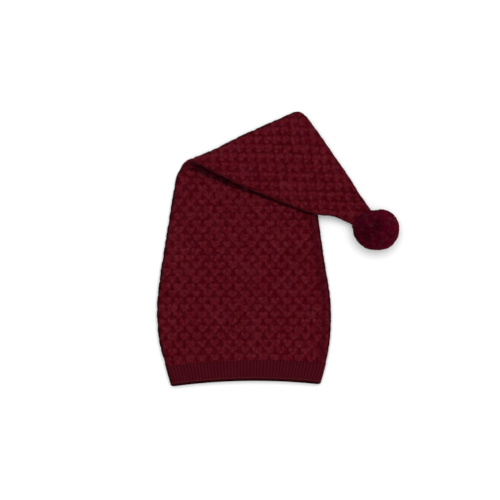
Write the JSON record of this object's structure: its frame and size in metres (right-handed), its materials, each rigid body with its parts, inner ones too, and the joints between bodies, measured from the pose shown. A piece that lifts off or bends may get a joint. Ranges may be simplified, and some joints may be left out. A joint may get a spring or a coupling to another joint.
{
  "type": "pixie hat",
  "caption": "Long bubble-knit pixie hat with a ribbed hem, lying flat with its tapered peak folded over the crown and a wool pompom at the tip.",
  "frame": {"origin": "on the flat of the crown's back, where the hat rests, near the middle of the crown", "axes": "+Y up the hat from its open hem to the fold, +X to the right of the hat seen from the front, +Z from the back through the front, up from the surface it lies on"},
  "size_m": [0.313, 0.3569, 0.0541],
  "materials": {
    "bubble_knit": "matt dark red wool, knitted in raised bubbles",
    "rib_knit": "matt dark red wool, fine one by one rib",
    "pompom_wool": "cut wool yarn, soft and slightly glossy, deep crimson"
  },
  "bodies": {
    "root": {"ribbed_band": "rib_knit", "crown": "bubble_knit", "peak": "bubble_knit", "pompom": "pompom_wool"}
  },
  "joints": []
}
